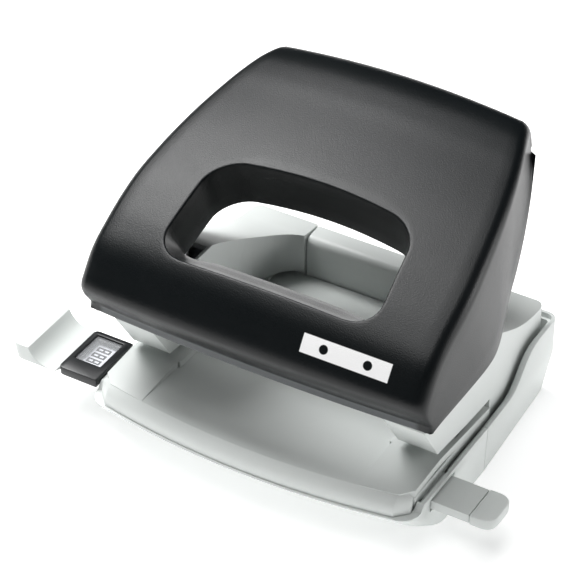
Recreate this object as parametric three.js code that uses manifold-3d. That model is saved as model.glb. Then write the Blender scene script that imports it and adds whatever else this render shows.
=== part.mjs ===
// Two-hole office punch, millimetres, +Z up. The origin is on the desk, in the mid-plane, under the
// line through the two punch pins. +Y is the rear, where the handle is pressed, and -Y is the front,
// where the paper goes in. +X is the right-hand side, where the guide rail's grip comes out.
import * as THREE from "three";
import { mergeVertices } from "three/addons/utils/BufferGeometryUtils.js";
import Module from "manifold-3d";

const wasm = await Module();
wasm.setup();

// ---- driving dimensions ----
const HOLE_X = 40; // half of the 80 mm hole spacing
const PIN_R = 2.75; // radius of a punched hole
const WALL = 2; // moulded wall thickness
const GAP = 0.3; // clearance between fixed neighbours

const BASE_X = 48.2; // half-width of the lower shell at its rim
const BASE_REAR = 52; // rear of the lower shell
const RIM_Z = 14.8; // rim of the lower shell along the sides
const NOSE_Z = 13; // rim under the table's front apron
const RIM_REAR_Z = 23.6; // rim of the lower shell at the rear corners
const FRONT_CORNER = -30.4; // front corner of the rim
const FRONT_BOW = 5.3; // how far the middle of the front edge stands ahead of its corners
const FOOT_FRONT = -17; // front edge of the flat underside
const SHELL_SPLIT = 10; // seam between front and rear lower shell

const TABLE_X = 45.8; // half-width of the paper table
const CREASE_Z = 18.1; // table height behind the front apron
const SLOT_MOUTH_Z = 19.2; // table height at the mouth of the paper slot
const SLOT_END = 15.5; // where the paper stops
const SLOT_END_Z = 16.6; // table height at the end of the slot
const WELL_X = 32; // half-width of the sunk middle of the table

const CHEEK_IN = 34; // inner and outer faces of the cheeks
const CHEEK_OUT = 45.5;
const COVER_X = 24.7; // half-width of the middle rear cover
const COVER_FRONT = 42;
const COVER_Z = 28.2; // height of the rear deck

const PIVOT = { y: -15, z: 39 }; // handle axis
const PRESS = { y: 0, z: 49, r: 3 }; // nose of the press arm over the pin head
const HANDLE_WALL = 2.3;

const RAIL = { y0: -20.2, y1: -9, z0: 10.2, z1: 12.8 };
const TRAY = { x: 42.4, y0: -8, y1: 37, rim: 7.4 };
const TRAY_AXIS = { y: 39.4, z: 3.2 };
const SIDES = [["left", -1], ["right", 1]];

// ---- materials ----
const finish = (color, roughness, metalness = 0) => ({ color, roughness, metalness });
const LIGHT_GREY = finish(0xd4d8d6, 0.45);
const BLACK = finish(0x24262a, 0.5);
const GLOSS_BLACK = finish(0x101214, 0.3);
const STEEL = finish(0xb4b8bc, 0.3, 0.9);
const LABEL = finish(0xd8d9e0, 0.6);
const CLEAR = finish(0xe8eef2, 0.08);

const group = new THREE.Group();

function addMesh(name, geometry, look) {
  const mesh = new THREE.Mesh(geometry, new THREE.MeshStandardMaterial(look));
  mesh.name = name;
  group.add(mesh);
}

// ---- solids ----
// A closed three.js geometry becomes a manifold, and a manifold becomes a geometry again.
function solid(geometry) {
  const clean = geometry.clone();
  clean.deleteAttribute("normal");
  clean.deleteAttribute("uv");
  const merged = mergeVertices(clean, 1e-4);
  return new wasm.Manifold(new wasm.Mesh({
    numProp: 3,
    vertProperties: new Float32Array(merged.attributes.position.array),
    triVerts: new Uint32Array(merged.index.array),
  }));
}

function geometryOf(manifold) {
  const mesh = manifold.getMesh();
  const geometry = new THREE.BufferGeometry();
  geometry.setAttribute("position", new THREE.BufferAttribute(new Float32Array(mesh.vertProperties), 3));
  geometry.setIndex(new THREE.BufferAttribute(new Uint32Array(mesh.triVerts), 1));
  return geometry;
}

function addSolid(name, manifold, look) {
  addMesh(name, geometryOf(manifold), look);
}

function polygon(points) {
  const shape = new THREE.Shape();
  points.forEach(([a, b], i) => (i ? shape.lineTo(a, b) : shape.moveTo(a, b)));
  return shape;
}

const prism = (shape, depth, curveSegments) =>
  new THREE.ExtrudeGeometry(shape, { depth, bevelEnabled: false, curveSegments });

// A shape drawn in (x, y), raised from z0 to z1.
function alongZ(shape, z0, z1, curveSegments = 8) {
  return solid(prism(shape, z1 - z0, curveSegments).translate(0, 0, z0));
}

// A shape drawn in (y, z), run from x0 to x1.
function alongX(shape, x0, x1, curveSegments = 8) {
  const turn = new THREE.Matrix4().set(0, 0, 1, x0, 1, 0, 0, 0, 0, 1, 0, 0, 0, 0, 0, 1);
  return solid(prism(shape, x1 - x0, curveSegments).applyMatrix4(turn));
}

// A shape drawn in (x, z), run from y0 to y1.
function alongY(shape, y0, y1, curveSegments = 8) {
  const turn = new THREE.Matrix4().set(1, 0, 0, 0, 0, 0, -1, y1, 0, 1, 0, 0, 0, 0, 0, 1);
  return solid(prism(shape, y1 - y0, curveSegments).applyMatrix4(turn));
}

function box(x0, x1, y0, y1, z0, z1) {
  const geometry = new THREE.BoxGeometry(x1 - x0, y1 - y0, z1 - z0);
  return solid(geometry.translate((x0 + x1) / 2, (y0 + y1) / 2, (z0 + z1) / 2));
}

function rodZ(x, y, z0, z1, radius, sides = 24) {
  const geometry = new THREE.CylinderGeometry(radius, radius, z1 - z0, sides).rotateX(Math.PI / 2);
  return solid(geometry.translate(x, y, (z0 + z1) / 2));
}

function rodX(y, z, x0, x1, radius, sides = 24) {
  const geometry = new THREE.CylinderGeometry(radius, radius, x1 - x0, sides).rotateZ(Math.PI / 2);
  return solid(geometry.translate((x0 + x1) / 2, y, z));
}

// A body of revolution about a vertical line; profile is a closed list of [radius, z].
function turned(x, y, profile, sides = 24) {
  const points = profile.map(([r, z]) => new THREE.Vector2(r, z));
  const lathe = new THREE.LatheGeometry(points, sides).rotateX(Math.PI / 2);
  return solid(lathe.translate(x, y, 0));
}

// A solid between stacked closed rings that all have the same number of points.
function loft(rings) {
  const count = rings[0].length;
  const middle = (ring) => ring.reduce((sum, p) => sum.add(p), new THREE.Vector3()).divideScalar(count);
  const points = [...rings.flat(), middle(rings[0]), middle(rings.at(-1))];
  const index = [];
  const low = points.length - 2;
  const high = points.length - 1;
  const top = (rings.length - 1) * count;
  for (let i = 0; i < count; i++) {
    const j = (i + 1) % count;
    for (let r = 0; r < rings.length - 1; r++) {
      const a = r * count;
      index.push(a + i, a + j, a + count + j, a + i, a + count + j, a + count + i);
    }
    index.push(low, j, i, high, top + i, top + j);
  }
  return solid(indexed(points, index));
}

function indexed(points, index) {
  const geometry = new THREE.BufferGeometry().setFromPoints(points);
  geometry.setIndex(index);
  return geometry;
}

const lerp = THREE.MathUtils.lerp;
const range = (n) => Array.from({ length: n }, (_, i) => i);

// ---- lower shell: a hull with a bowed front, undercut towards the desk ----
// Outline of the hull at height z, pulled in by inset, walked anticlockwise seen from above.
function hullOutline(z, inset) {
  const up = THREE.MathUtils.clamp(z / (RIM_Z - 2), 0, 1);
  const lean = 1 - (1 - up) ** 1.2;
  const halfX = (y) => {
    const behind = Math.max(0, y - SHELL_SPLIT);
    return BASE_X - 0.5 * (1 - up) - behind * lerp(0.05, 0.02, up) - inset;
  };
  const front = (x) => {
    const rim = FRONT_CORNER - FRONT_BOW * (1 - (x / BASE_X) ** 2);
    return lerp(FOOT_FRONT, rim, lean) + inset;
  };
  const rear = BASE_REAR - 2 * (1 - up) - inset;
  const radius = Math.max(5.5 - inset, 1.5);
  const rearRadius = Math.max(3 - inset, 0.8);
  const points = [];
  const corner = (cx, cy, from, r = radius) => {
    for (const i of range(7)) {
      const angle = from + (i / 6) * (Math.PI / 2);
      points.push(new THREE.Vector3(cx + r * Math.cos(angle), cy + r * Math.sin(angle), z));
    }
  };
  const frontX = halfX(0);
  const rearX = halfX(BASE_REAR);
  for (const i of range(17)) {
    const x = lerp(-(frontX - radius), frontX - radius, i / 16);
    points.push(new THREE.Vector3(x, front(x), z));
  }
  const cornerY = front(frontX - radius) + radius;
  corner(frontX - radius, cornerY, -Math.PI / 2);
  points.push(new THREE.Vector3(frontX, SHELL_SPLIT, z));
  corner(rearX - rearRadius, rear - rearRadius, 0, rearRadius);
  corner(-(rearX - rearRadius), rear - rearRadius, Math.PI / 2, rearRadius);
  points.push(new THREE.Vector3(-frontX, SHELL_SPLIT, z));
  corner(-(frontX - radius), cornerY, Math.PI);
  return points.filter((p, i) => i === 0 || p.distanceTo(points[i - 1]) > 1e-6);
}

const HULL_LEVELS = [0, 1.5, 3.5, 6, 8.5, 11, RIM_Z - 2, 30];
const hullRings = (from, inset) =>
  HULL_LEVELS.map((z) => hullOutline(Math.max(z, 0), inset).map((p) => p.setZ(z + from)));
const hull = loft(hullRings(0, 0));
const hullInside = loft(hullRings(WALL, WALL));

// Side view of everything below the rim line, which climbs round the rear corners.
const rimLine = new THREE.Shape();
rimLine.moveTo(-60, -1);
rimLine.lineTo(-60, NOSE_Z);
rimLine.lineTo(-26, NOSE_Z);
rimLine.lineTo(-24.4, RIM_Z);
rimLine.lineTo(22, RIM_Z);
rimLine.bezierCurveTo(30, RIM_Z, 31, RIM_REAR_Z, 40, RIM_REAR_Z);
rimLine.lineTo(70, RIM_REAR_Z - 0.8);
rimLine.lineTo(70, -1);
const belowRim = alongX(rimLine, -60, 60, 10);

const trayHole = box(-TRAY.x - GAP, TRAY.x + GAP, TRAY.y0 - GAP, TRAY_AXIS.y + 3, -1, WALL + 1);
const railWindow = box(-60, 60, RAIL.y0 - 0.8, RAIL.y1 + 0.8, RAIL.z0 - 0.7, RAIL.z1 + 0.7);
const rimGroove = loft(hullRings(0, 1)).subtract(belowRim.translate([0, 0, -1.4]))
  .intersect(box(-60, 60, -24, 60, 0, 60)); // a thin lip stands outside a groove along the sides and rear
const shell = hull.intersect(belowRim).subtract(hullInside).subtract(trayHole).subtract(railWindow)
  .subtract(rimGroove);

const SCREW = { x: 36, y: 45.3, head: 2.6, shank: 1.4 };
const screwSeats = SIDES.map(([, s]) => rodZ(s * SCREW.x, SCREW.y, -1, 1.2, SCREW.head + 0.2)
  .add(rodZ(s * SCREW.x, SCREW.y, -1, 6, SCREW.shank + 0.2)));
const hingeLugs = [-1, 1].map((s) => box(s * 40 - 1.2, s * 40 + 1.2, TRAY_AXIS.y, 44.2, 1, 5.4)
  .add(rodX(TRAY_AXIS.y, TRAY_AXIS.z, s * 40 - 1.2, s * 40 + 1.2, 2.2))
  .subtract(rodX(TRAY_AXIS.y, TRAY_AXIS.z, -50, 50, 1.15, 16)));
let rearShell = shell.intersect(box(-70, 70, SHELL_SPLIT + GAP / 2, 90, -5, 60));
hingeLugs.forEach((lug) => { rearShell = rearShell.add(lug); });
screwSeats.forEach((seat) => { rearShell = rearShell.subtract(seat); });
addSolid("lower_shell_front", shell.intersect(box(-70, 70, -90, SHELL_SPLIT - GAP / 2, -5, 60)), LIGHT_GREY);
addSolid("lower_shell_rear", rearShell, LIGHT_GREY);

// ---- chip tray that closes the underside and swings down on a rod at its rear ----
let tray = box(-TRAY.x, TRAY.x, TRAY.y0, TRAY.y1, 0, TRAY.rim)
  .subtract(box(-TRAY.x + 1.5, TRAY.x - 1.5, TRAY.y0 + 1.5, TRAY.y1 - 1.5, 1.6, TRAY.rim + 1));
for (const x of [-22, 22]) {
  tray = tray.add(box(x - 8, x + 8, TRAY.y1 - 1, TRAY_AXIS.y, 1.6, 4.8))
    .add(rodX(TRAY_AXIS.y, TRAY_AXIS.z, x - 8, x + 8, 2, 20));
}
tray = tray.subtract(rodX(TRAY_AXIS.y, TRAY_AXIS.z, -60, 60, 1.2, 16));
addSolid("chip_tray", tray, LIGHT_GREY);
addSolid("tray_hinge_rod", rodX(TRAY_AXIS.y, TRAY_AXIS.z, -42.4, 42.4, 0.9, 16), STEEL);

// ---- paper table: apron, flat sides that lead into the slots, and a sunk middle ----
// Closed side view of a plate whose top runs through the given [y, z] points.
function plate(top, thickness) {
  return polygon([...top, ...top.map(([y, z]) => [y, z - thickness]).reverse()]);
}

const tableTop = [[-33, CREASE_Z], [-12, SLOT_MOUTH_Z], [SLOT_END, SLOT_END_Z], [60, SLOT_END_Z]];
const wellTop = [[-33, CREASE_Z], [-27.5, CREASE_Z + 0.1], [-12, 17.3], [SLOT_END, 15.8], [60, 15.8]];
const sidePlates = alongX(plate(tableTop, WALL), WELL_X, 60).add(alongX(plate(tableTop, WALL), -60, -WELL_X));
const middlePlate = alongX(plate(wellTop, WALL), -WELL_X - 0.5, WELL_X + 0.5);
const innerStep = [-1, 1].map((s) => alongX(polygon([...tableTop.slice(1, 3), [SLOT_END, 14], [-12, 15.2]]),
  s * WELL_X - 0.6, s * WELL_X + 0.6));

// Outline of the table, pulled in by inset, with its front edge drawn forward by reach.
function tableOutline(inset, reach, rear, rearX) {
  const half = TABLE_X - inset;
  const points = range(17).map((i) => {
    const x = lerp(-half + 3, half - 3, i / 16);
    return [x, FRONT_CORNER + 3.6 - reach - FRONT_BOW * (1 - (x / BASE_X) ** 2)];
  });
  points.push([half, points.at(-1)[1] + 3.2], [half, SLOT_END], [rearX, SLOT_END]);
  points.push([rearX, rear], [-rearX, rear], [-rearX, SLOT_END], [-half, SLOT_END], [-half, points[0][1] + 3.2]);
  return points;
}

const lay = (points, z) => points.map(([x, y]) => new THREE.Vector3(x, y, z));
const TABLE_REAR = COVER_FRONT - GAP;
const TABLE_REAR_X = 33.4;
const flatZone = alongZ(polygon(tableOutline(0, 0, TABLE_REAR, TABLE_REAR_X)), 5, 40);
const apronRings = [[13.2, 2.9], [14.6, 2.9], [16.4, 2.2], [17.6, 1], [CREASE_Z, 0]];
const apronOuter = loft(apronRings.map(([z, reach]) => lay(tableOutline(0, reach, -20, TABLE_X - 0.1), z)));
const apronInner = loft([[12, 2.9], [14, 2.9], [15.6, 1.8], [16.3, 0]]
  .map(([z, reach]) => lay(tableOutline(WALL, reach - WALL, -19, TABLE_X - WALL - 0.1), z)));
const skirts = [-1, 1].map((s) => box(s > 0 ? TABLE_X - WALL : -TABLE_X, s > 0 ? TABLE_X : -TABLE_X + WALL,
  -25, SLOT_END, 13.4, 16.4));
let table = flatZone.intersect(sidePlates.add(middlePlate).add(innerStep[0]).add(innerStep[1]));
table = table.add(apronOuter.subtract(apronInner).intersect(box(-60, 60, -60, -26, 10, 30)));
skirts.forEach((skirt) => { table = table.add(skirt); });
for (const [, s] of SIDES) {
  table = table.subtract(rodZ(s * HOLE_X, 0, 5, 25, 4.6));
}
addSolid("paper_table", table, LIGHT_GREY);

// ---- cheeks: hollow side housings over the paper slots, with a wing that sweeps round the rear ----
const cheekSide = new THREE.Shape();
cheekSide.moveTo(-12.7, 21.5);
cheekSide.lineTo(-20.6, 33.8);
cheekSide.lineTo(-19.4, 36);
cheekSide.lineTo(-11, 36);
cheekSide.lineTo(-10, 43);
cheekSide.lineTo(9, 43);
cheekSide.bezierCurveTo(19, 39, 27, 33, 36, 30.2);
cheekSide.bezierCurveTo(42, 28.6, 46, COVER_Z, 60, COVER_Z);
cheekSide.lineTo(60, 12);
cheekSide.lineTo(SLOT_END + 0.8, 12);
cheekSide.lineTo(SLOT_END + 0.8, 18.8);
cheekSide.lineTo(12.5, 18.9);
const cheekHollow = new THREE.Shape();
cheekHollow.moveTo(-11.9, 23);
cheekHollow.lineTo(-18.6, 33.4);
cheekHollow.lineTo(-11, 60);
cheekHollow.lineTo(7.6, 60);
cheekHollow.lineTo(7.6, 41.3);
cheekHollow.bezierCurveTo(18, 37, 26, 31.4, 35.6, 28.5);
cheekHollow.bezierCurveTo(42, 26.9, 46, 26.5, 60, 26.5);
cheekHollow.lineTo(60, 5);
cheekHollow.lineTo(SLOT_END + 2.4, 5);
cheekHollow.lineTo(SLOT_END + 2.4, 20.4);
cheekHollow.lineTo(-11, 22.9);

// Plan of the right-hand cheek, pulled in by inset; the inner side runs out to the wing.
function cheekPlan(inset, innerWall) {
  const shape = new THREE.Shape();
  const outer = CHEEK_OUT - inset;
  const rear = BASE_REAR - WALL - 1.2 - inset;
  const inner = CHEEK_IN + innerWall;
  shape.moveTo(inner, -40);
  shape.lineTo(outer, -40);
  shape.lineTo(outer, 2);
  shape.lineTo(outer - 0.9, rear - 4);
  shape.quadraticCurveTo(outer - 0.9, rear, outer - 3.6, rear);
  shape.lineTo(COVER_X + GAP + inset, rear);
  shape.lineTo(COVER_X + GAP + inset, COVER_FRONT - 0.5 + inset);
  shape.quadraticCurveTo(CHEEK_IN - 1 + inset, COVER_FRONT - 3 + inset, CHEEK_IN + inset, 26);
  shape.lineTo(inner, 24);
  return shape;
}

const mirrorX = (manifold) => manifold.mirror([1, 0, 0]);
const cheekOuter = alongX(cheekSide, 20, 60, 10).intersect(alongZ(cheekPlan(0, 0), 5, 70, 10));
const cheekInner = alongX(cheekHollow, 20, 60, 10).intersect(alongZ(cheekPlan(1.6, 0.9), 0, 75, 10));
const cheekPost = rodZ(SCREW.x, SCREW.y, 6, 27, 3.2).subtract(rodZ(SCREW.x, SCREW.y, 5, 20, SCREW.shank));
const cheek = cheekOuter.subtract(cheekInner).add(cheekPost)
  .subtract(box(20, 33.8, 15, COVER_FRONT - 0.1, 0, SLOT_END_Z + GAP)) // the wing rests on the table
  .subtract(box(35, 43.6, 15, 19, 5, 14.8)) // the punch frame's foot comes through
  .subtract(rodZ(HOLE_X, 0, 15, 23.5, 3.4));
addSolid("right_cheek", cheek, LIGHT_GREY);
addSolid("left_cheek", mirrorX(cheek), LIGHT_GREY);

// ---- middle rear cover ----
const coverRear = BASE_REAR - WALL - 1.2;
const coverSide = new THREE.Shape();
coverSide.moveTo(COVER_FRONT, 14);
coverSide.lineTo(COVER_FRONT, COVER_Z - 2.6);
coverSide.quadraticCurveTo(COVER_FRONT, COVER_Z, COVER_FRONT + 2.6, COVER_Z);
coverSide.lineTo(coverRear, COVER_Z);
coverSide.lineTo(coverRear, 14);
const coverHollow = polygon([[COVER_FRONT + 1.8, 13], [COVER_FRONT + 1.8, COVER_Z - 2.8],
  [COVER_FRONT + 2.8, COVER_Z - 1.8], [coverRear - 1.8, COVER_Z - 1.8], [coverRear - 1.8, 13]]);
addSolid("rear_cover", alongX(coverSide, -COVER_X, COVER_X)
  .subtract(alongX(coverHollow, -COVER_X + 1.8, COVER_X - 1.8)), LIGHT_GREY);

// ---- handle shell ----
// The edge of the crowned top, front lip to rear: [y, z, half-width, crown].
const CREST = [
  [-25.5, 38.9, 46.9, 1.4], [-25.8, 41.3, 46.9, 1.4], [-26.2, 41.9, 46.9, 1.4], [-28.2, 44.4, 46.9, 1.4],
  [-30.0, 47.0, 46.95, 1.5], [-30.8, 50.2, 47.0, 1.7],
  [-28.7, 53.8, 47.0, 2.0], [-24.3, 59.2, 46.9, 2.3], [-17.7, 63.5, 46.8, 2.5], [-10.4, 67.1, 46.8, 2.5],
  [-3.0, 70.3, 46.4, 2.5], [5, 73.1, 45.4, 2.5], [12.8, 75.6, 44.2, 2.5], [20.8, 77.9, 42.7, 2.5],
  [29, 80.1, 40.8, 2.5], [36.2, 82.0, 38.8, 2.5], [43, 83.3, 36.6, 2.4], [48.4, 82.9, 34.9, 2.0],
  [51.0, 80.0, 34.4, 1.4], [51.4, 76.4, 34.8, 1.2]];
// The lower edge of the side panel, point for point with the crest: [y, z].
const HEM = [
  [-24.9, 39.0], [-24.5, 39.1], [-24.0, 39.2], [-22.2, 39.3], [-19.4, 39.4], [-15.4, 39.4], [-11, 39.4], [-7.6, 39.4], [-3.8, 39.4],
  [0, 39.5], [4, 39.8], [8, 40.5], [11.6, 42.2], [15.6, 45.5], [20.6, 49.9], [27.2, 54.6],
  [33.8, 60.2], [39.8, 66.4], [44.2, 71.8], [46.8, 75.2]];
const PANEL_X = 50.1; // half-width at the hem, where it is lowest
const PANEL_DRAFT = 0.29; // how fast the panels draw in with height above the lowest hem
const PANEL_FILLET = 4;

const spline = (list) => new THREE.CatmullRomCurve3(list.map((p) => new THREE.Vector3(...p)), false, "centripetal");
const crestLine = spline(CREST.map(([y, z, half]) => [half, y, z]));
const crownLine = spline(CREST.map(([, , , crown], i) => [crown, i, 0]));
const hemLine = spline(HEM.map(([y, z]) => [PANEL_X - PANEL_DRAFT * Math.max(0, z - 40), y, z]));

// A point of the outer surface: t runs from lip to rear; v is 0 at mid-plane, 1 on the crest,
// 2 at the foot of the fillet and 3 on the hem.
function handlePoint(t, v) {
  const crest = crestLine.getPoint(t);
  if (v <= 1) {
    const tangent = crestLine.getTangent(t);
    const crown = crownLine.getPoint(t).x * (1 - v * v);
    const length = Math.hypot(tangent.y, tangent.z);
    return new THREE.Vector3(crest.x * v, crest.y - (tangent.z / length) * crown,
      crest.z + (tangent.y / length) * crown);
  }
  const hem = hemLine.getPoint(t);
  const run = hem.clone().sub(crest).setX(0);
  const reach = Math.min(PANEL_FILLET, run.length() * 0.8);
  const foot = crest.clone().addScaledVector(run.normalize(), reach).setX(Math.min(crest.x + 3, hem.x));
  if (v <= 2) {
    const bend = crest.clone().lerp(foot, 0.25).setX(foot.x);
    return new THREE.QuadraticBezierCurve3(crest, bend, foot).getPoint(v - 1);
  }
  return foot.lerp(hem, v - 2);
}

// The side panel's normal; below the crest the wall's direction turns from the top's to this.
const PANEL_NORMAL = new THREE.Vector3(1, 0, PANEL_DRAFT).normalize();

function handleNormal(t, v) {
  const step = 1e-3;
  const across = Math.min(v, 1 - step);
  const alongT = handlePoint(Math.min(t + step, 1), across).sub(handlePoint(Math.max(t - step, 0), across));
  const alongV = handlePoint(t, across + step).sub(handlePoint(t, Math.max(across - step, 0)));
  const top = alongV.cross(alongT).normalize();
  return v <= 1 ? top : top.lerp(PANEL_NORMAL, Math.min(v - 1, 1)).normalize();
}

// A closed slab between the outer surface and the surface depth below it.
function handleSlab(rows, columns, depth) {
  const across = [...columns.slice(1).reverse().map((v) => [-1, v]), ...columns.map((v) => [1, v])];
  const place = (t, [s, v], below) => {
    const p = handlePoint(t, v).addScaledVector(handleNormal(t, v), -below);
    return p.setX(s * p.x);
  };
  const points = [];
  for (const below of [0, depth]) {
    for (const t of rows) points.push(...across.map((c) => place(t, c, below)));
  }
  const nR = rows.length;
  const nC = across.length;
  const id = (layer, r, c) => layer * nR * nC + r * nC + c;
  const index = [];
  const quad = (a, b, c, d) => index.push(a, b, c, a, c, d);
  for (let r = 0; r < nR - 1; r++) {
    for (let c = 0; c < nC - 1; c++) {
      quad(id(0, r, c), id(0, r, c + 1), id(0, r + 1, c + 1), id(0, r + 1, c));
      quad(id(1, r, c), id(1, r + 1, c), id(1, r + 1, c + 1), id(1, r, c + 1));
    }
    quad(id(0, r, 0), id(0, r + 1, 0), id(1, r + 1, 0), id(1, r, 0));
    quad(id(0, r, nC - 1), id(1, r, nC - 1), id(1, r + 1, nC - 1), id(0, r + 1, nC - 1));
  }
  for (let c = 0; c < nC - 1; c++) {
    quad(id(0, 0, c), id(1, 0, c), id(1, 0, c + 1), id(0, 0, c + 1));
    quad(id(0, nR - 1, c), id(0, nR - 1, c + 1), id(1, nR - 1, c + 1), id(1, nR - 1, c));
  }
  return solid(indexed(points, index));
}

// Finger window: a rounded trapezoid, sunk along a line that leans back, with a sleeve round it.
const WINDOW = { lean: 0.3, low: -3.2, high: 29, lowX: 31.4, highX: 28.6, r: 8, sleeve: 15, wall: 2, arch: 3 };

function windowPrism(grow) {
  const [x0, x1] = [WINDOW.lowX + grow, WINDOW.highX + grow];
  const [y0, y1] = [WINDOW.low - grow, WINDOW.high + grow];
  const r = WINDOW.r + grow;
  const shape = new THREE.Shape();
  shape.moveTo(-x0 + r, y0);
  shape.lineTo(x0 - r, y0);
  shape.quadraticCurveTo(x0, y0, x0 - 0.2, y0 + r);
  const fall = WINDOW.arch * ((x1 - r) / x1) ** 2; // the rear edge is an arch
  shape.lineTo(x1 + 0.2, y1 - r - fall);
  shape.quadraticCurveTo(x1, y1 - fall - 0.8, x1 - r, y1 - fall);
  shape.quadraticCurveTo(0, y1 + fall, -x1 + r, y1 - fall);
  shape.quadraticCurveTo(-x1, y1 - fall - 0.8, -x1 - 0.2, y1 - r - fall);
  shape.lineTo(-x0 + 0.2, y0 + r);
  shape.quadraticCurveTo(-x0, y0, -x0 + r, y0);
  const geometry = prism(shape, 100, 6).translate(0, 0, 10).rotateX(WINDOW.lean);
  return solid(geometry);
}

const ROWS = range(37).map((i) => i / 36);
const COLUMNS = [0, 0.2, 0.4, 0.6, 0.8, 0.92, 1, 1.15, 1.35, 1.55, 1.75, 2, 2.33, 2.66, 3];
const sleeveBlock = handleSlab(range(15).map((i) => 0.28 + i / 26), [0, 0.3, 0.6, 0.8], WINDOW.sleeve);
const sleeve = windowPrism(WINDOW.wall).subtract(windowPrism(0)).intersect(sleeveBlock);
const handle = handleSlab(ROWS, COLUMNS, HANDLE_WALL).subtract(windowPrism(0.5)).add(sleeve);
addSolid("handle_shell", handle, BLACK);

// ---- punch mechanism, one set in each cheek ----
const BRACKET = { in: 35.4, out: 43.1, plate: 1.3 };
const bracketSide = polygon([[-11.2, 24.8], [-10.2, 23.4], [18.4, 21.4], [18.4, 14.2], [-6, 14.2], [-6, 9.2],
  [25, 9.2], [25, 31.4], [7, 38.5], [-8, 44.4], [-17.6, 43.6], [-19, 40], [-17.2, 37], [-16.8, 33.6]]);

function bracket(side) {
  const [a, b] = [BRACKET.in, BRACKET.out];
  const t = BRACKET.plate;
  let body = alongX(bracketSide, a, a + t).add(alongX(bracketSide, b - t, b));
  const pinBay = rodZ(HOLE_X, 0, 24.7, 31, 4).add(rodZ(HOLE_X, 0, 32.5, 60, 4));
  body = body.subtract(pinBay);
  body = body.add(box(a, b, -9.5, 9, 23.3, 24.7)); // lower guide
  body = body.add(box(a, b, -7, 7, 31, 32.5)); // upper guide
  body = body.add(box(a, b, -6, 25, 9.2, 10.6)); // foot under the die
  body = body.subtract(rodZ(HOLE_X, 0, 20, 35, PIN_R + 0.15));
  body = body.subtract(rodZ(HOLE_X, 0, 8, 12, 3.4));
  body = body.subtract(rodX(PIVOT.y, PIVOT.z, 30, 50, 2.6));
  body = body.subtract(rodX(22, 22, 30, 50, 1.7));
  return side > 0 ? body : mirrorX(body);
}

const armSide = new THREE.Shape();
armSide.moveTo(-15, 35.4);
armSide.quadraticCurveTo(-11.4, 35.6, -10, 40.2);
armSide.lineTo(PRESS.y - 2.4, PRESS.z - 1.8);
armSide.absarc(PRESS.y, PRESS.z, PRESS.r, Math.PI * 1.2, Math.PI * 2, false);
armSide.lineTo(PRESS.y + PRESS.r, 66.5);
armSide.lineTo(-12, 61.2);
armSide.lineTo(-21, 54);
armSide.lineTo(-18.8, 39.5);
armSide.quadraticCurveTo(-18.4, 35.6, -15, 35.4);

function spring(x) {
  const turns = 5;
  const [low, high, radius, wire] = [33.1, 41.4, 3.25, 0.38];
  const points = range(turns * 12 + 1).map((i) => {
    const angle = (i / 12) * Math.PI * 2;
    const z = lerp(low, high, i / (turns * 12));
    return new THREE.Vector3(x + radius * Math.cos(angle), radius * Math.sin(angle), z);
  });
  const section = polygon(range(6).map((i) => [wire * Math.cos(i * Math.PI / 3), wire * Math.sin(i * Math.PI / 3)]));
  return new THREE.ExtrudeGeometry(section, {
    steps: turns * 12, bevelEnabled: false, extrudePath: new THREE.CatmullRomCurve3(points),
  });
}

for (const [side, s] of SIDES) {
  const x = s * HOLE_X;
  addSolid(`${side}_punch_frame`, bracket(s), STEEL);
  addSolid(`${side}_punch_pin`, turned(x, 0, [[0, 21.9], [PIN_R - 0.3, 21.9], [PIN_R, 22.4], [PIN_R, 42],
    [3.6, 42], [3.6, 45], [2.8, 45.9], [0, 45.95]]), STEEL);
  addSolid(`${side}_pin_clip`, turned(x, 0, [[PIN_R, 30.2], [3.6, 30.2], [3.6, 30.9], [PIN_R, 30.9],
    [PIN_R, 30.2]]), STEEL);
  addSolid(`${side}_return_spring`, solid(spring(x)), STEEL);
  addSolid(`${side}_die_ring`, turned(x, 0, [[2.95, 14.5], [4.3, 14.5], [4.3, 17.9], [2.95, 17.9],
    [2.95, 14.5]]), STEEL);
  addSolid(`${side}_pivot_pin`, rodX(PIVOT.y, PIVOT.z, Math.min(s * 35, s * 43.6), Math.max(s * 35, s * 43.6), 2.4),
    STEEL);
  const arm = alongX(armSide, HOLE_X - 1.6, HOLE_X + 1.6, 10).subtract(rodX(PIVOT.y, PIVOT.z, 30, 50, 2.7));
  addSolid(`${side}_press_arm`, s > 0 ? arm : mirrorX(arm), STEEL);
  addSolid(`${side}_frame_rivet`, rodX(22, 22, Math.min(s * 35, s * 43.2), Math.max(s * 35, s * 43.2), 1.5, 16), STEEL);
  addSolid(`${side}_base_screw`, turned(s * SCREW.x, SCREW.y, [[0, 0.3], [SCREW.head, 0.3], [SCREW.head, 1.1],
    [SCREW.shank - 0.1, 1.1], [SCREW.shank - 0.1, 19], [0, 19.6]], 20), STEEL);
}

// ---- sliding paper guide: rail, stop flag, grip, format label, and the window over the label ----
const FLAG = { out: -73.6, y0: -27.4, y1: -7.9, top: 19.2, low: 14.6, end: -60.9 };
const RAIL_RIGHT = 58.6;
const GRIP_TIP = 65.4;
const flagSide = new THREE.Shape();
flagSide.moveTo(FLAG.end, RAIL.z0 + 1);
flagSide.lineTo(FLAG.end, FLAG.low);
flagSide.bezierCurveTo(-64.5, FLAG.low, -67.6, 15.4, -69.2, FLAG.top);
flagSide.lineTo(FLAG.out + 0.6, FLAG.top);
flagSide.quadraticCurveTo(FLAG.out - 0.4, FLAG.top - 0.2, FLAG.out, FLAG.top - 1.6);
flagSide.quadraticCurveTo(FLAG.out + 1.6, RAIL.z0 + 1.4, -68, RAIL.z0 + 1);
const flagPlan = new THREE.Shape();
flagPlan.moveTo(FLAG.end + 1, FLAG.y0);
flagPlan.lineTo(FLAG.end + 1, FLAG.y1);
flagPlan.lineTo(FLAG.out + 1, FLAG.y1);
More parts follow.
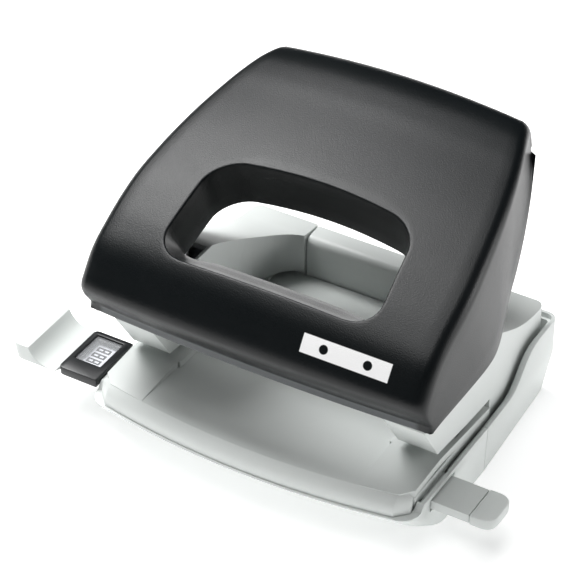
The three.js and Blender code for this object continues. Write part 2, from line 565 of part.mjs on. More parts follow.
flagPlan.quadraticCurveTo(FLAG.out - 1, FLAG.y1 - 0.3, FLAG.out - 1, FLAG.y1 - 2.5);
flagPlan.lineTo(FLAG.out - 1, FLAG.y0 + 2.5);
flagPlan.quadraticCurveTo(FLAG.out - 1, FLAG.y0 + 0.2, FLAG.out + 2, FLAG.y0);
const flag = alongY(flagSide, FLAG.y0 - 1, FLAG.y1 + 1, 8).intersect(alongZ(flagPlan, 0, 40, 6))
  .subtract(alongX(polygon([[FLAG.y0 - 2, 5], [RAIL.y0, 5], [RAIL.y0, 12], [FLAG.y0 - 2, 15.2]]), -90, -50));
const railBar = box(-62, RAIL_RIGHT, RAIL.y0, RAIL.y1, RAIL.z0, RAIL.z1)
  .subtract(box(-59, 44, RAIL.y0 + 1.6, RAIL.y1 - 1.6, RAIL.z0 - 1, RAIL.z1 - 1.2));
addSolid("guide_rail", railBar.add(flag), LIGHT_GREY);

const gripPlan = new THREE.Shape();
gripPlan.moveTo(RAIL_RIGHT + 0.1, RAIL.y0 - 0.3);
gripPlan.lineTo(GRIP_TIP - 3.6, RAIL.y0 - 0.3);
gripPlan.quadraticCurveTo(GRIP_TIP, RAIL.y0 - 0.1, GRIP_TIP, RAIL.y0 + 3.6);
gripPlan.lineTo(GRIP_TIP, RAIL.y1 - 3.6);
gripPlan.quadraticCurveTo(GRIP_TIP, RAIL.y1 + 0.1, GRIP_TIP - 3.6, RAIL.y1 + 0.3);
gripPlan.lineTo(RAIL_RIGHT + 0.1, RAIL.y1 + 0.3);
addSolid("rail_grip", alongZ(gripPlan, RAIL.z0 - 0.4, RAIL.z1 + 0.3, 6), LIGHT_GREY);
addSolid("format_label", box(-58.4, 36, -19.2, -10, RAIL.z1 + 0.02, RAIL.z1 + 0.2), LABEL);

const FRAME = { x0: -60.4, x1: -48.5, y0: -26.4, y1: -8.4, z0: 13.4, z1: 16 };
const framePlan = new THREE.Shape();
framePlan.moveTo(FRAME.x0 + 1.5, FRAME.y0);
framePlan.lineTo(FRAME.x1, FRAME.y0);
framePlan.lineTo(FRAME.x1, FRAME.y1);
framePlan.lineTo(FRAME.x0 + 1.5, FRAME.y1);
framePlan.quadraticCurveTo(FRAME.x0, FRAME.y1, FRAME.x0, FRAME.y1 - 1.5);
framePlan.lineTo(FRAME.x0, FRAME.y0 + 1.5);
framePlan.quadraticCurveTo(FRAME.x0, FRAME.y0, FRAME.x0 + 1.5, FRAME.y0);
const labelWindow = box(-58.4, -51.2, -20.6, -10.4, 5, 30);
const lensSeat = box(-58.9, -50.7, -21.1, -9.9, 14.8, 30);
addSolid("format_frame", alongZ(framePlan, FRAME.z0, FRAME.z1, 6).subtract(labelWindow).subtract(lensSeat),
  GLOSS_BLACK);
addSolid("format_lens", box(-58.7, -50.9, -20.9, -10.1, 14.85, 15.5), CLEAR);

// Leaf spring under the table that gives the rail its click stops.
const leaf = polygon([[-24, 15.2], [-10, 15.2], [-6, 13.6], [-2, 13.6], [2, 15.2], [8, 15.2], [8, 14.9],
  [2.2, 14.9], [-1.8, 13.3], [-6.2, 13.3], [-10.2, 14.9], [-24, 14.9]]);
addSolid("rail_click_spring", alongY(leaf, -17.6, -11.6), STEEL);

export default group;
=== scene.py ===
import math

import bmesh
import bpy
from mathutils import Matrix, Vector


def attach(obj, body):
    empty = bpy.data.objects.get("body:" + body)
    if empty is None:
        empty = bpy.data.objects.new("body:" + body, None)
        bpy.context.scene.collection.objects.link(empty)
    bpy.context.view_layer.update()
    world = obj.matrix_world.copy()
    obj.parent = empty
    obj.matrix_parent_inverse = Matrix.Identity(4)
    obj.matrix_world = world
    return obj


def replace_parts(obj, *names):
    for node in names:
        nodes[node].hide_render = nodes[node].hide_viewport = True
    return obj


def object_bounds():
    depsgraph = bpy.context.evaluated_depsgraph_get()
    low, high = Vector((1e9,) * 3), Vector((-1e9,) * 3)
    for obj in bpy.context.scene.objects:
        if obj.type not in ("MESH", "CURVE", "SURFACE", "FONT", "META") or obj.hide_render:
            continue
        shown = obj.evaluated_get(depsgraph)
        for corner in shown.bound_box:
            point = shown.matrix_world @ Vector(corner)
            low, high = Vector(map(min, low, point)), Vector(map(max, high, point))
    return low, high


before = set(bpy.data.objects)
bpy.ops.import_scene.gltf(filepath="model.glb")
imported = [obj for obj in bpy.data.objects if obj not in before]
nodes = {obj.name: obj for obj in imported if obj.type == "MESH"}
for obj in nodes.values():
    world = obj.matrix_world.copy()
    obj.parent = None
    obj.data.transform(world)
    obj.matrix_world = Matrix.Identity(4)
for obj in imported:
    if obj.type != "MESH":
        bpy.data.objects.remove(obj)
cad_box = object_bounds()

# ---- camera: three-quarter view from the front right, looking down on the handle ----
# A long lens, so the hull's edges stay nearly parallel.
AIM = Vector((0, -0.011, 0.056))
VIEW_AZIMUTH, VIEW_ELEVATION, VIEW_DISTANCE = math.radians(30.7), math.radians(37.1), 0.700
back = Vector((
    math.sin(VIEW_AZIMUTH) * math.cos(VIEW_ELEVATION),
    -math.cos(VIEW_AZIMUTH) * math.cos(VIEW_ELEVATION),
    math.sin(VIEW_ELEVATION),
))
camera = bpy.data.objects.new("camera", bpy.data.cameras.new("camera"))
camera.data.sensor_width = 36
camera.data.lens = 176.8
camera.data.clip_start = 0.01
camera.location = AIM + back * VIEW_DISTANCE
camera.rotation_euler = (-back).to_track_quat("-Z", "Y").to_euler()
bpy.context.scene.collection.objects.link(camera)
bpy.context.scene.camera = camera


# ---- lower shell: the pale hull that stands on the desk, front and rear mouldings ----
# Injection-moulded light grey plastic, satin, with a thin lip outside a groove round the deck.
class Varying:
    """A number that changes over a surface. Arithmetic on it adds Math nodes."""

    def __init__(self, socket):
        self.socket = socket

    def __add__(self, other):
        return maths("ADD", self, other)

    def __radd__(self, other):
        return maths("ADD", other, self)

    def __sub__(self, other):
        return maths("SUBTRACT", self, other)

    def __rsub__(self, other):
        return maths("SUBTRACT", other, self)

    def __mul__(self, other):
        return maths("MULTIPLY", self, other)

    def __rmul__(self, other):
        return maths("MULTIPLY", other, self)

    def __pow__(self, other):
        return maths("POWER", self, other)


def maths(operation, *terms):
    tree = next(t for t in terms if isinstance(t, Varying)).socket.id_data
    node = tree.nodes.new("ShaderNodeMath")
    node.operation = operation
    for socket, term in zip(node.inputs, terms):
        if isinstance(term, Varying):
            tree.links.new(term.socket, socket)
        else:
            socket.default_value = term
    return Varying(node.outputs[0])


class Finish:
    """A material built from nodes, on the object's own coordinates in metres."""

    def __init__(self, name, **constants):
        self.material = bpy.data.materials.new(name)
        self.material.use_nodes = True
        self.tree = self.material.node_tree
        self.shader = self.tree.nodes["Principled BSDF"]
        for socket, value in constants.items():
            self.shader.inputs[socket.replace("_", " ")].default_value = value
        self.place = self.node("ShaderNodeTexCoord").outputs["Object"]
        axes = self.node("ShaderNodeSeparateXYZ", sockets={"Vector": self.place}).outputs
        self.x, self.y, self.z = (Varying(axes[i]) for i in range(3))

    def feed(self, socket, value):
        value = getattr(value, "socket", value)
        if isinstance(value, bpy.types.NodeSocket):
            self.tree.links.new(value, socket)
        else:
            socket.default_value = value

    def node(self, kind, settings=None, sockets=None):
        node = self.tree.nodes.new(kind)
        for name, value in (settings or {}).items():
            setattr(node, name, value)
        for name, value in (sockets or {}).items():
            self.feed(node.inputs[name], value)
        return node

    def noise(self, size, detail=2.0, stretch=(1, 1, 1)):
        """Noise whose blotches are about size metres across, about 0.5 on average."""
        place = self.place
        if stretch != (1, 1, 1):
            mapping = self.node("ShaderNodeMapping", sockets={"Vector": place, "Scale": stretch})
            place = mapping.outputs[0]
        return Varying(self.node("ShaderNodeTexNoise", sockets={
            "Vector": place, "Scale": 1 / size, "Detail": detail}).outputs["Fac"])

    def band(self, value, low, high):
        """0 below low, 1 above high, smooth between."""
        node = self.node("ShaderNodeMapRange", {"interpolation_type": "SMOOTHSTEP"}, {
            "Value": value, "From Min": low, "From Max": high})
        return Varying(node.outputs[0])

    def mix(self, factor, a, b):
        node = self.node("ShaderNodeMix", {"data_type": "RGBA"})
        self.feed(node.inputs[0], factor)
        self.feed(node.inputs[6], (*a, 1) if isinstance(a, tuple) else a)
        self.feed(node.inputs[7], (*b, 1) if isinstance(b, tuple) else b)
        return node.outputs[2]

    def colour(self, value):
        self.feed(self.shader.inputs["Base Color"], value)

    def roughness(self, value):
        self.feed(self.shader.inputs["Roughness"], value)

    def grain(self, height, depth):
        """Bump of that depth in metres from a height that runs 0 to 1."""
        bump = self.node("ShaderNodeBump", sockets={
            "Strength": 1.0, "Distance": depth, "Height": height})
        self.feed(self.shader.inputs["Normal"], bump.outputs[0])


def grey_moulding(name, pale, dark, rough=0.42):
    """Light grey plastic: two close greys in soft clouds, a fine etched grain, faint handling marks."""
    f = Finish(name, Specular_IOR_Level=0.42)
    clouds = f.noise(0.018, 3)
    f.colour(f.mix(clouds, pale, dark))
    smears = f.noise(0.007, 4, (1, 0.35, 1))
    f.roughness(rough + 0.14 * (smears - 0.5) + 0.05 * f.noise(0.0008, 1))
    f.grain(0.7 * f.noise(0.00035, 2) + 0.3 * f.noise(0.0022, 2), 0.000012)
    return f.material


def dress(name, material):
    """Gives a CAD node its finish."""
    node = nodes[name]
    node.data.materials.clear()
    node.data.materials.append(material)


def finish_mesh(bm, name, material, body, sharp=32):
    """Turns a bmesh into a finished piece that rides on a body."""
    mesh = bpy.data.meshes.new(name)
    bm.to_mesh(mesh)
    bm.free()
    mesh.materials.append(material)
    mesh.shade_smooth()
    mesh.set_sharp_from_angle(angle=math.radians(sharp))
    piece = bpy.data.objects.new(name, mesh)
    bpy.context.scene.collection.objects.link(piece)
    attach(piece, body)
    return piece


def eased(node_name, edge, sharp=28, segments=2):
    """A merged copy of a CAD node with its sharp edges rounded to edge metres."""
    bm = bmesh.new()
    bm.from_mesh(nodes[node_name].data)
    bmesh.ops.remove_doubles(bm, verts=bm.verts, dist=2e-6)
    bmesh.ops.dissolve_degenerate(bm, edges=bm.edges, dist=2e-6)
    bmesh.ops.dissolve_limit(bm, angle_limit=math.radians(0.8), verts=bm.verts, edges=bm.edges)
    corners = [e for e in bm.edges if e.is_manifold and e.calc_face_angle(0) > math.radians(sharp)]
    bmesh.ops.bevel(bm, geom=corners, affect="EDGES", offset=edge, offset_type="OFFSET",
                    segments=segments, profile=0.5, material=-1, clamp_overlap=True)
    bmesh.ops.triangulate(bm, faces=[f for f in bm.faces if len(f.verts) > 4])
    return bm


def moulding(node_name, edge, material, body, sharp=28):
    piece = finish_mesh(eased(node_name, edge, sharp), node_name + "_moulding", material, body)
    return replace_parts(piece, node_name)


HULL_GREY = grey_moulding("hull_grey", (0.68, 0.71, 0.695), (0.645, 0.675, 0.66))
moulding("lower_shell_front", 0.00035, HULL_GREY, "base")
moulding("lower_shell_rear", 0.00035, HULL_GREY, "base")

# ---- chip tray: the sprung-on floor that holds the chips, on a steel rod at its rear ----
# Softer grey plastic than the hull, so that it can be bent off its catches.
TRAY_GREY = grey_moulding("tray_grey", (0.63, 0.66, 0.645), (0.58, 0.61, 0.595), 0.5)
moulding("chip_tray", 0.0003, TRAY_GREY, "tray")


def metal(name, tint, rough, size=0.0004, stretch=(1, 1, 1), specks=0.06):
    """Bare or plated steel: drawn or ground lines along the long direction, a little uneven tarnish."""
    f = Finish(name, Metallic=1.0)
    lines = f.noise(size, 2, stretch)
    tarnish = f.noise(0.004, 3)
    f.colour(f.mix(tarnish, tint, tuple(0.82 * c for c in tint)))
    f.roughness(rough + 0.16 * (lines - 0.5) + specks * tarnish)
    f.grain(lines, 0.000008)
    return f.material


ROD_STEEL = metal("rod_steel", (0.62, 0.63, 0.65), 0.28, 0.0003, (0.05, 1, 1))
dress("tray_hinge_rod", ROD_STEEL)

# ---- paper table: the deck that the sheet slides over, with its bowed front apron ----
# The same satin grey plastic as the hull, moulded in one piece.
moulding("paper_table", 0.0003, HULL_GREY, "base")

# ---- cheeks and rear cover: side housings over the punches, and the cap between them ----
# Thin-walled mouldings in the same grey plastic as the hull, hollow where the steel frames stand.
moulding("left_cheek", 0.0004, HULL_GREY, "base")
moulding("right_cheek", 0.0004, HULL_GREY, "base")
moulding("rear_cover", 0.0005, HULL_GREY, "base")

# ---- punch sets: zinc-plated frame, sprung pin, die ring, pivot, arm, rivet and screw ----
# Folded plated steel, ground tool steel pins and rings, and drawn spring wire, in a left and a
# right set. The click spring of the paper guide is the same spring steel.
ZINC = metal("zinc_plate", (0.64, 0.65, 0.66), 0.34, 0.0012, (1, 1, 0.4), 0.12)
TOOL_STEEL = metal("tool_steel", (0.50, 0.51, 0.53), 0.22, 0.00015, (1, 1, 6))
SPRING_STEEL = metal("spring_steel", (0.40, 0.41, 0.43), 0.30, 0.0003)
for side in ("left", "right"):
    for part, material in (("punch_frame", ZINC), ("press_arm", ZINC), ("base_screw", ZINC),
                           ("punch_pin", TOOL_STEEL), ("die_ring", TOOL_STEEL),
                           ("pin_clip", SPRING_STEEL), ("return_spring", SPRING_STEEL),
                           ("pivot_pin", ROD_STEEL), ("frame_rivet", ROD_STEEL)):
        dress(f"{side}_{part}", material)
dress("rail_click_spring", SPRING_STEEL)

# ---- paper guide: rail, stop flag and grip, with a printed label under a small window ----
# Rail, grip and label slide as one through the base. The black frame and clear window stay put.
moulding("guide_rail", 0.0003, HULL_GREY, "guide")
moulding("rail_grip", 0.0006, HULL_GREY, "guide")
LABEL = grey_moulding("label_film", (0.80, 0.81, 0.87), (0.76, 0.77, 0.83), 0.35)
dress("format_label", LABEL)
INK = grey_moulding("label_ink", (0.012, 0.012, 0.014), (0.018, 0.018, 0.020), 0.4)


def printed_box(bm, x0, x1, y0, y1, z0, z1):
    """A block between two corners, in mm."""
    made = bmesh.ops.create_cube(bm, size=1)["verts"]
    bmesh.ops.scale(bm, verts=made, vec=((x1 - x0) / 1000, (y1 - y0) / 1000, (z1 - z0) / 1000))
    bmesh.ops.translate(bm, verts=made, vec=((x0 + x1) / 2000, (y0 + y1) / 2000, (z0 + z1) / 2000))


# Three seven-stroke digits that read along Y, and a row of dots beside them.
INK_FOOT, INK_TOP = 13.005, 13.04
DIGIT_START, DIGIT_PITCH, DIGIT_WIDTH = -17.9, 2.5, 1.8
ink = bmesh.new()
for digit in range(3):
    y = DIGIT_START + DIGIT_PITCH * digit
    for x in (-57.4, -55.6, -53.8):
        printed_box(ink, x - 0.3, x + 0.3, y, y + DIGIT_WIDTH, INK_FOOT, INK_TOP)
    for x in (-57.1, -55.3):
        for edge in (y, y + 1.25):
            printed_box(ink, x, x + 1.2, edge, edge + 0.55, INK_FOOT, INK_TOP)
for dot in range(4):
    y = -17.6 + 1.9 * dot
    printed_box(ink, -52.7, -52.3, y, y + 0.4, INK_FOOT, INK_TOP)
finish_mesh(ink, "label_print", INK, "guide")

frame_black = Finish("frame_black", Specular_IOR_Level=0.5)
frame_black.colour(frame_black.mix(
    frame_black.noise(0.01), (0.004, 0.005, 0.006), (0.007, 0.008, 0.010)))
frame_black.roughness(0.34 + 0.1 * frame_black.noise(0.003, 3))
frame_black.grain(frame_black.noise(0.0005, 2), 0.000004)
FRAME_BLACK = frame_black.material
moulding("format_frame", 0.0004, FRAME_BLACK, "base")

clear = Finish("clear_window", Specular_IOR_Level=0.5)
clear.colour((0.9, 0.92, 0.95, 1))
clear.roughness(0.08 + 0.1 * clear.noise(0.003))
clear.feed(clear.shader.inputs["Alpha"], 0.10 + 0.08 * clear.noise(0.006))
dress("format_lens", clear.material)

# ---- handle: one deep black moulding with a finger window, pivoted between the cheeks ----
# Charcoal plastic with a fine even grain, a little more polished where the palm presses.
HANDLE_CREST = (  # y, z, half-width and crown of the crest, front lip to rear, in mm
    (-25.5, 38.9, 46.9, 1.4), (-25.8, 41.3, 46.9, 1.4), (-26.2, 41.9, 46.9, 1.4),
    (-28.2, 44.4, 46.9, 1.4),
    (-30.0, 47.0, 46.95, 1.5), (-30.8, 50.2, 47.0, 1.7),
    (-28.7, 53.8, 47.0, 2.0), (-24.3, 59.2, 46.9, 2.3), (-17.7, 63.5, 46.8, 2.5),
    (-10.4, 67.1, 46.8, 2.5),
    (-3.0, 70.3, 46.4, 2.5), (5, 73.1, 45.4, 2.5), (12.8, 75.6, 44.2, 2.5), (20.8, 77.9, 42.7, 2.5),
    (29, 80.1, 40.8, 2.5), (36.2, 82.0, 38.8, 2.5), (43, 83.3, 36.6, 2.4), (48.4, 82.9, 34.9, 2.0),
    (51.0, 80.0, 34.4, 1.4), (51.4, 76.4, 34.8, 1.2))
HANDLE_HEM = (  # y and z of the side panel's lower edge, point for point with the crest
    (-24.9, 39.0), (-24.5, 39.1), (-24.0, 39.2), (-22.2, 39.3), (-19.4, 39.4),
    (-15.4, 39.4), (-11, 39.4), (-7.6, 39.4), (-3.8, 39.4),
    (0, 39.5), (4, 39.8), (8, 40.5), (11.6, 42.2), (15.6, 45.5), (20.6, 49.9), (27.2, 54.6),
    (33.8, 60.2), (39.8, 66.4), (44.2, 71.8), (46.8, 75.2))
PANEL_DRAFT = 0.29
PANEL_FILLET = 4.0
HANDLE_WALL = 2.3
HEM_ROUND = 0.4
WINDOW_LEAN = 0.3
WINDOW_LOW, WINDOW_HIGH = -3.2, 29.0
WINDOW_LOW_X, WINDOW_HIGH_X, WINDOW_R = 31.4, 28.6, 8.0
WINDOW_ARCH = 3.0
SLEEVE_DEPTH, SLEEVE_WALL, WINDOW_RIM = 15.0, 2.0, 0.7
SCOOP_SHORTER = 9.5  # the sleeve's front wall ends this much higher than its rear
RIM_ROOM = 0.6  # extra wall behind the rim's rounding
SCOOP = 1.5  # the sleeve's front wall slopes back this far for each mm that it goes down


def centripetal(points):
    """A smooth curve through points: a function of 0 to 1 that gives each point an equal share."""
    points = [Vector(p) for p in points]
    points = [2 * points[0] - points[1], *points, 2 * points[-1] - points[-2]]

    def at(t):
        place = min(max(t, 0.0), 1.0) * (len(points) - 3)
        i = min(int(place), len(points) - 4)
        p = points[i:i + 4]
        gaps = [max((p[k + 1] - p[k]).length ** 0.5, 1e-4) for k in range(3)]
        u = place - i
        slope_1 = ((p[1] - p[0]) / gaps[0] - (p[2] - p[0]) / (gaps[0] + gaps[1])
                   + (p[2] - p[1]) / gaps[1]) * gaps[1]
        slope_2 = ((p[2] - p[1]) / gaps[1] - (p[3] - p[1]) / (gaps[1] + gaps[2])
                   + (p[3] - p[2]) / gaps[2]) * gaps[1]
        return (p[1] * (2 * u**3 - 3 * u**2 + 1) + slope_1 * (u**3 - 2 * u**2 + u)
                + p[2] * (3 * u**2 - 2 * u**3) + slope_2 * (u**3 - u**2))
    return at


crest_at = centripetal([(half, y, z) for y, z, half, _ in HANDLE_CREST])
crown_at = centripetal([(crown, i, 0) for i, (*_, crown) in enumerate(HANDLE_CREST)])
hem_at = centripetal([(50.1 - PANEL_DRAFT * max(0, z - 40), y, z) for y, z in HANDLE_HEM])


def handle_point(t, v):
    """t runs from lip to rear; v is 0 at mid-plane, 1 on the crest, 2 below the fillet, 3 at the hem."""
    crest = crest_at(t)
    if v <= 1:
        run = crest_at(min(t + 1e-3, 1)) - crest_at(max(t - 1e-3, 0))
        run.x = 0
        run.normalize()
        # The lip bows straight forward, and everything above it bows outwards.
        bow = min(max(t * (len(HANDLE_CREST) - 1) - 4, 0) / 2.5, 1)
        bow = bow * bow * (3 - 2 * bow)
        out = Vector((0, -1, 0)).lerp(Vector((0, -run.z, run.y)), bow).normalized()
        return Vector((crest.x * v, crest.y, crest.z)) + out * crown_at(t).x * (1 - v * v)
    hem = hem_at(t)
    run = Vector((0, hem.y - crest.y, hem.z - crest.z))
    reach = min(PANEL_FILLET, run.length * 0.8)
    foot = crest + run.normalized() * reach
    foot.x = min(crest.x + 3, hem.x)
    if v <= 2:
        bend = crest.lerp(foot, 0.25)
        bend.x = foot.x
        s = v - 1
        return crest * (1 - s)**2 + bend * 2 * s * (1 - s) + foot * s * s
    return foot.lerp(hem, v - 2)


PANEL_NORMAL = Vector((1, 0, PANEL_DRAFT)).normalized()


def handle_normal(t, v):
    step = 1e-3
    across = min(v, 1 - step)
    along_t = handle_point(min(t + step, 1), across) - handle_point(max(t - step, 0), across)
    along_v = handle_point(t, across + step) - handle_point(t, max(across - step, 0))
    top = along_v.cross(along_t).normalized()
    return top if v <= 1 else top.lerp(PANEL_NORMAL, min(v - 1, 1)).normalized()


def window_place(point):
    """(x, how far up the window's plane) of a point, looked at along the sleeve."""
    return Vector((point.x, point.y * math.cos(WINDOW_LEAN) + point.z * math.sin(WINDOW_LEAN)))


def surface_under(place):
    """(t, v) of the top surface at a window place."""
    low, high = 0.1, 0.85
    for _ in range(30):
        t = (low + high) / 2
        if window_place(handle_point(t, min(abs(place.x) / crest_at(t).x, 1))).y < place.y:
            low = t
        else:
            high = t
    return t, abs(place.x) / crest_at(t).x


def window_edge(angle, grow):
    """The window's outline, grown outwards, where a ray from its middle meets it."""
    middle = Vector((0, (WINDOW_LOW + WINDOW_HIGH) / 2))
    ray = Vector((math.cos(angle), math.sin(angle)))
    r = WINDOW_R + grow
    near, far = 0.0, 60.0
    for _ in range(40):
        reach = (near + far) / 2
        p = ray * reach
        half_y = (WINDOW_HIGH - WINDOW_LOW) / 2 + grow
        share = (p.y + half_y) / (2 * half_y)
        p.y += WINDOW_ARCH * share * (p.x / WINDOW_HIGH_X)**2
        half_x = (WINDOW_LOW_X + grow) * (1 - share) + (WINDOW_HIGH_X + grow) * share
        corner = Vector((max(abs(p.x) - (half_x - r), 0), max(abs(p.y) - (half_y - r), 0)))
        inside = abs(p.x) < half_x and abs(p.y) < half_y and corner.length < r
        near, far = (reach, far) if inside else (near, reach)
    return middle + ray * reach


# The sheet starts as a flat grid: across is v with a sign, along is t. A block of faces in the
# middle makes way for the window, and rings run in from that hole to the rim and down the sleeve.
ALONG, TOP_STEPS, SIDE_STEPS, FLANK_STEPS = 96, 14, 6, 5
columns = ([3 - i / FLANK_STEPS for i in range(FLANK_STEPS)]
           + [2 - i / SIDE_STEPS for i in range(SIDE_STEPS)]
           + [1 - i / TOP_STEPS for i in range(TOP_STEPS)])
columns = [-c for c in columns] + [0.0] + columns[::-1]
HOLE_ROWS = (34, 66)
HOLE_COLUMNS = 10  # columns each side of the middle
RINGS = 5
RIM_STEPS = 4
SLEEVE_STEPS = 3

sheet = bmesh.new()
made = bmesh.ops.create_grid(sheet, x_segments=len(columns) - 1, y_segments=ALONG, size=1)
centre = len(columns) // 2
param = {}
for vert in made["verts"]:
    column = round((vert.co.x + 1) / 2 * (len(columns) - 1))
    row = round((vert.co.y + 1) / 2 * ALONG)
    param[vert] = (row, column)


def in_hole_block(vert):
    row, column = param[vert]
    return HOLE_ROWS[0] <= row <= HOLE_ROWS[1] and abs(column - centre) <= HOLE_COLUMNS


gone = [f for f in sheet.faces if all(in_hole_block(v) for v in f.verts)]
bmesh.ops.delete(sheet, geom=gone, context="FACES")
param = {v: p for v, p in param.items() if v.is_valid}


def on_surface(t, s, below):
    v = abs(s)
    p = handle_point(t, v) - handle_normal(t, v) * below
    return Vector((math.copysign(p.x, s) if s else 0.0, p.y, p.z))


outside, inside = {}, {}
for vert, (row, column) in param.items():
    t, s = row / ALONG, columns[column]
    outside[vert] = on_surface(t, s, 0)
    inside[vert] = on_surface(t, s, HANDLE_WALL)

edges = [e for e in sheet.edges if e.is_boundary and all(in_hole_block(v) for v in e.verts)]
angle_of, start_of = {}, {}
for e in edges:
    for vert in e.verts:
        start = window_place(outside[vert])
        start_of[vert] = start
        aim = start - Vector((0, (WINDOW_LOW + WINDOW_HIGH) / 2))
        angle_of[vert] = math.atan2(aim.y, aim.x)

down = Vector((0, math.sin(WINDOW_LEAN), -math.cos(WINDOW_LEAN)))


def ring(edges, place):
    """Extrudes a ring of edges and gives each new vertex its outer and inner place."""
    made = bmesh.ops.extrude_edge_only(sheet, edges=edges)["geom"]
    fresh = [g for g in made if isinstance(g, bmesh.types.BMVert)]
    twins = {}
    for new in fresh:
        for e in new.link_edges:
            old = e.other_vert(new)
            if old in angle_of and old not in fresh:
                twins[new] = old
    for new, old in twins.items():
        angle_of[new], start_of[new] = angle_of[old], start_of[old]
        outside[new], inside[new] = place(angle_of[new], start_of[new])
    return [g for g in made if isinstance(g, bmesh.types.BMEdge)]


def laid_in(share):
    def place(angle, start):
        outer = start.lerp(window_edge(angle, WINDOW_RIM), share)
        inner = start.lerp(window_edge(angle, SLEEVE_WALL + RIM_ROOM), share)
        t, v = surface_under(outer)
        t2, v2 = surface_under(inner)
        return (on_surface(t, math.copysign(v, outer.x), 0),
                on_surface(t2, math.copysign(v2, inner.x), HANDLE_WALL))
    return place


def round_rim(turn):
    def place(angle, start):
        bend = turn * math.pi / 2
        outer = window_edge(angle, WINDOW_RIM * (1 - math.sin(bend)))
        inner = window_edge(angle, SLEEVE_WALL + RIM_ROOM * max(0, 1 - 1.5 * turn))
        t, v = surface_under(outer)
        t2, v2 = surface_under(inner)
        return (on_surface(t, math.copysign(v, outer.x), 0) + down * WINDOW_RIM * (1 - math.cos(bend)),
                on_surface(t2, math.copysign(v2, inner.x), HANDLE_WALL) + down * 0.4 * turn)
    return place


def sunk(share):
    def place(angle, start):
        outer, inner = window_edge(angle, 0), window_edge(angle, SLEEVE_WALL)
        t, v = surface_under(outer)
        t2, v2 = surface_under(inner)
        front = min(max(-1.6 * math.sin(angle) - 0.2, 0), 1)
        front = front * front * (3 - 2 * front)
        depth = WINDOW_RIM + (SLEEVE_DEPTH - SCOOP_SHORTER * front - WINDOW_RIM) * share
        slope = Vector((0, SCOOP * front * (depth - WINDOW_RIM), 0))
        inner_depth = max(depth + front, HANDLE_WALL + RIM_ROOM)
        return (on_surface(t, math.copysign(v, outer.x), 0) + down * depth + slope,
                on_surface(t2, math.copysign(v2, inner.x), 0) + down * inner_depth + slope)
    return place


for i in range(1, RINGS + 1):
    edges = ring(edges, laid_in(i / RINGS))
for i in range(1, RIM_STEPS + 1):
    edges = ring(edges, round_rim(i / RIM_STEPS))
for i in range(1, SLEEVE_STEPS + 1):
    edges = ring(edges, sunk(i / SLEEVE_STEPS))

# The inner wall is the same sheet turned over. A band of faces joins the two round the hem and
# round the sleeve's foot.
twin = bmesh.ops.duplicate(sheet, geom=sheet.verts[:] + sheet.edges[:] + sheet.faces[:])
for old, new in list(twin["vert_map"].items()):
    if old in inside and new not in outside:
        new.co = inside[old]
for old, place in outside.items():
    old.co = place
inner_faces = [g for g in twin["geom"] if isinstance(g, bmesh.types.BMFace)]
bmesh.ops.reverse_faces(sheet, faces=inner_faces)
twin_of = {old: new for old, new in twin["vert_map"].items() if old in outside}
brink = set()
for e in [e for e in twin["edge_map"] if e.is_boundary and e.verts[0] in outside]:
    a, b = e.verts
    brink.add(sheet.faces.new((a, b, twin_of[b], twin_of[a])))
bmesh.ops.recalc_face_normals(sheet, faces=sheet.faces)
rims = [e for e in sheet.edges if len(brink.intersection(e.link_faces)) == 1]
bmesh.ops.bevel(sheet, geom=rims, affect="EDGES", offset=HEM_ROUND, offset_type="OFFSET", segments=2,
                profile=0.5, material=-1, clamp_overlap=True)
bmesh.ops.scale(sheet, vec=(0.001, 0.001, 0.001), verts=sheet.verts)

black = Finish("handle_black", Specular_IOR_Level=0.27)
# Painted reflection: the lower strip of the front lip is painted mid grey, standing in for the pale
# floor reflected in the black edge.
painted_lip_reflection = (1 - black.band(black.z, 0.0410, 0.0414)) * (1 - black.band(black.y, -0.0242, -0.0236))
painted_lip_reflection = painted_lip_reflection * (1 - black.band(maths("ABSOLUTE", black.x), 0.0452, 0.0470))
skin = black.mix(black.noise(0.012, 3), (0.0016, 0.0028, 0.0034), (0.0024, 0.0038, 0.0046))
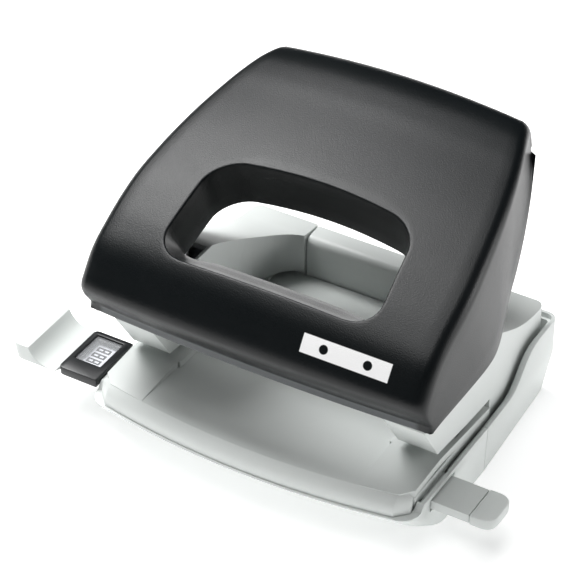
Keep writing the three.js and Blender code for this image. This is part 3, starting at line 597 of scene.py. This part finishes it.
# A printed strip with two punched holes, in light ink on the sloping front.
across = maths("ABSOLUTE", black.x - 0.0275)
along = 0.63 * black.y + 0.77 * black.z - 0.0251
strip = ((1 - black.band(across, 0.0119, 0.0121))
         * (1 - black.band(maths("ABSOLUTE", along), 0.0023, 0.0025)))
holes = black.band(((across - 0.006)**2 + along**2)**0.5, 0.0011, 0.0013)
printed = strip * holes * black.band(0.63 * black.z - 0.77 * black.y, 0.0548, 0.0550)
# The lip strip gets its painted-reflection mid grey here, and the printed ink goes over both.
black.colour(black.mix(printed, black.mix(painted_lip_reflection, skin, (0.062, 0.069, 0.073)), (0.80, 0.80, 0.80)))
palm = black.band(black.y, 0.005, 0.045)
speckle = black.noise(0.00032, 2)
black.roughness(0.36 + 0.16 * (speckle - 0.5) + 0.06 * (black.noise(0.01, 3) - 0.5) - 0.03 * palm)
black.grain(speckle, 0.00005)
HANDLE_BLACK = black.material
handle = finish_mesh(sheet, "handle_cover", HANDLE_BLACK, "handle", sharp=40)
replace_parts(handle, "handle_shell")

# ---- studio: pale floor, broad soft lights, dim even surroundings ----
# The floor glows a little, so that it stays white round the object.
floor_mesh = bpy.data.meshes.new("studio_floor")
floor_bm = bmesh.new()
bmesh.ops.create_grid(floor_bm, x_segments=1, y_segments=1, size=3.0)
floor_bm.to_mesh(floor_mesh)
floor_bm.free()
floor = bpy.data.objects.new("studio_floor", floor_mesh)
floor.location.z = cad_box[0][2] - 0.0005
bpy.context.scene.collection.objects.link(floor)
paper = Finish("studio_paper", Roughness=0.9, Emission_Color=(1, 1, 1, 1), Emission_Strength=0.45)
paper.colour(paper.mix(paper.noise(0.4), (0.93, 0.93, 0.93), (0.95, 0.95, 0.95)))
floor_mesh.materials.append(paper.material)

world = bpy.data.worlds.new("studio")
bpy.context.scene.world = world
world.use_nodes = True
world.node_tree.nodes["Background"].inputs["Color"].default_value = (1, 1, 1, 1)
world.node_tree.nodes["Background"].inputs["Strength"].default_value = 0.04
bpy.context.scene.view_settings.view_transform = "Standard"


def lamp(name, place, size, power):
    light = bpy.data.lights.new(name, "AREA")
    light.shape = "RECTANGLE"
    light.size, light.size_y = size
    light.energy = power
    lamp = bpy.data.objects.new(name, light)
    lamp.location = place
    lamp.rotation_euler = (AIM - Vector(place)).to_track_quat("-Z", "Y").to_euler()
    bpy.context.scene.collection.objects.link(lamp)


lamp("overhead_light", (-0.68, 0.15, 1.02), (0.55, 0.65), 16)
lamp("ceiling_light", (-0.15, -0.08, 1.25), (1.30, 0.90), 13)
lamp("strip_light", (0.85, 0.57, 0.14), (0.14, 0.45), 3.5)
